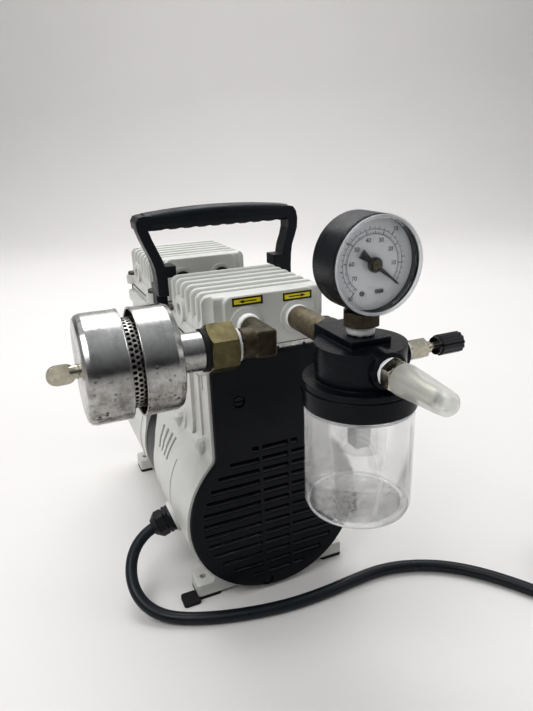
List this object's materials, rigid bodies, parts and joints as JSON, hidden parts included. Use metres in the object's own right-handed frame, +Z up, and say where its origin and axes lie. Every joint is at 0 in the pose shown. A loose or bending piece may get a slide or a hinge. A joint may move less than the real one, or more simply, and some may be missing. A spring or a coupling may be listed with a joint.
{
  "type": "twin-head piston vacuum pump",
  "caption": "Portable oil-free twin-head piston vacuum pump with carry handle, outlet silencer, inlet moisture trap, vacuum gauge, bleed valve and power cord.",
  "frame": {"origin": "on the floor, at the centre of the four foot holes", "axes": "+Z up, -Y towards the port side with the gauge and trap, +X to the right seen from that side"},
  "size_m": [0.4641, 0.4419, 0.3113],
  "materials": {
    "cast_case": "light grey enamel on die casting",
    "machined_alu": "milled",
    "laminations": "black varnish",
    "copper_winding": "enamelled copper",
    "shaft_steel": "ground",
    "zinc_steel": "zinc plated",
    "rod_alu": "as cast",
    "cup_polymer": "filled polymer",
    "fan_plastic": "moulded",
    "cover_plastic": "fine grain",
    "handle_plastic": "satin",
    "black_rubber": "plain",
    "gasket": "sheet",
    "spring_steel": "blued",
    "aged_brass": "dull, olive brown",
    "dark_brass": "dark, oxidised",
    "spun_alu": "spun, pitted",
    "screen_steel": "perforated",
    "filter_felt": "felt",
    "nickel": "nickel plate",
    "trap_plastic": "moulded, worn sheen",
    "clear_bowl": "clear, dusty",
    "white_plastic": "moulded",
    "gauge_black": "satin black",
    "dial_face": "silver white",
    "gauge_lens": "clear, scratched rim",
    "pointer_black": "matt",
    "cap_vinyl": "milky, soft",
    "knob_plastic": "glossy",
    "tape_white": "sealing tape",
    "label_yellow": "printed",
    "cord_jacket": "smooth jacket",
    "plug_plastic": "moulded"
  },
  "bodies": {
    "pump_body": {"front_crankcase": "cast_case", "rear_crankcase": "cast_case", "front_head": "cast_case", "rear_head": "cast_case", "foot_pads": "black_rubber", "stator_core": "laminations", "stator_windings": "copper_winding", "shaft_bearings": "shaft_steel", "cylinder_sleeves": "machined_alu", "valve_plates": "machined_alu", "head_gaskets": "gasket", "reed_valves": "spring_steel", "front_fan_cover": "cover_plastic", "rear_fan_cover": "cover_plastic", "fan_cover_screws": "zinc_steel", "head_screws": "zinc_steel", "transfer_tubes": "machined_alu", "seal_rings": "black_rubber", "handle": "handle_plastic", "handle_screws": "zinc_steel", "outlet_elbow": "dark_brass", "outlet_coupling": "aged_brass", "silencer_base": "spun_alu", "perforated_sleeve": "screen_steel", "filter_element": "filter_felt", "silencer_stud": "zinc_steel", "inlet_nipple": "aged_brass", "trap_head": "trap_plastic", "trap_baffle": "white_plastic", "gauge_stem": "aged_brass", "gauge_case": "gauge_black", "gauge_window": "gauge_lens", "gauge_dial": "dial_face", "gauge_movement": "aged_brass", "bleed_valve_body": "nickel", "hose_barb": "zinc_steel", "thread_tapes": "tape_white", "port_labels": "label_yellow", "cable_gland_body": "plug_plastic", "cable_gland_nut": "plug_plastic", "power_cord": "cord_jacket", "power_cord_coil": "cord_jacket", "power_plug": "plug_plastic"},
    "crankshaft": {"motor_shaft": "shaft_steel", "rotor_core": "shaft_steel", "eccentrics": "zinc_steel", "cooling_fans": "fan_plastic"},
    "front_rod": {"front_connecting_rod": "rod_alu", "front_rod_bearing": "shaft_steel", "front_piston_seal": "cup_polymer"},
    "rear_rod": {"rear_connecting_rod": "rod_alu", "rear_rod_bearing": "shaft_steel", "rear_piston_seal": "cup_polymer"},
    "gauge_hand": {"gauge_pointer": "pointer_black"},
    "valve_stem": {"bleed_needle": "nickel"},
    "valve_knob": {"bleed_knob": "knob_plastic"},
    "cap": {"barb_cap": "cap_vinyl"},
    "bowl": {"trap_bowl": "clear_bowl"},
    "muffler_cover": {"silencer_cover": "spun_alu"},
    "wing": {"wing_nut": "nickel"}
  },
  "joints": [
    {"name": "crank_spin", "type": "hinge", "parent": "pump_body", "child": "crankshaft", "pos_m": [0, 0, 0.074], "axis": [0, 1, 0], "continuous": true},
    {"name": "front_rod_pivot", "type": "hinge", "parent": "crankshaft", "child": "front_rod", "pos_m": [0, -0.08, 0.079], "axis": [0, 1, 0], "continuous": true},
    {"name": "rear_rod_pivot", "type": "hinge", "parent": "crankshaft", "child": "rear_rod", "pos_m": [0, 0.08, 0.069], "axis": [0, 1, 0], "continuous": true},
    {"name": "pointer_swing", "type": "hinge", "parent": "pump_body", "child": "gauge_hand", "pos_m": [0.019, -0.232, 0.2836], "axis": [0, -1, 0], "range_deg": [0, 270]},
    {"name": "stem_travel", "type": "slide", "parent": "pump_body", "child": "valve_stem", "axis": [1, 0, 0], "range_m": [0, 0.0021]},
    {"name": "knob_turn", "type": "hinge", "parent": "valve_stem", "child": "valve_knob", "pos_m": [0.08, -0.219, 0.225], "axis": [1, 0, 0], "range_deg": [0, 1101]},
    {"name": "cap_pull", "type": "slide", "parent": "pump_body", "child": "cap", "axis": [0, -1, 0], "range_m": [0, 0.05]},
    {"name": "bowl_drop", "type": "slide", "parent": "pump_body", "child": "bowl", "axis": [0, 0, -1], "range_m": [0, 0.09]},
    {"name": "cover_travel", "type": "slide", "parent": "pump_body", "child": "muffler_cover", "axis": [-1, 0, 0], "range_m": [0, 0.008]},
    {"name": "wing_turn", "type": "hinge", "parent": "muffler_cover", "child": "wing", "pos_m": [-0.138, -0.166, 0.2282], "axis": [-1, 0, 0], "range_deg": [0, 3670]}
  ],
  "couplings": [
    {"joint": "front_rod_pivot", "follows": "crank_spin", "ratio": -1},
    {"joint": "rear_rod_pivot", "follows": "crank_spin", "ratio": -1},
    {"joint": "knob_turn", "follows": "stem_travel", "rad_per_m": 8976},
    {"joint": "wing_turn", "follows": "cover_travel", "rad_per_m": 7854}
  ]
}
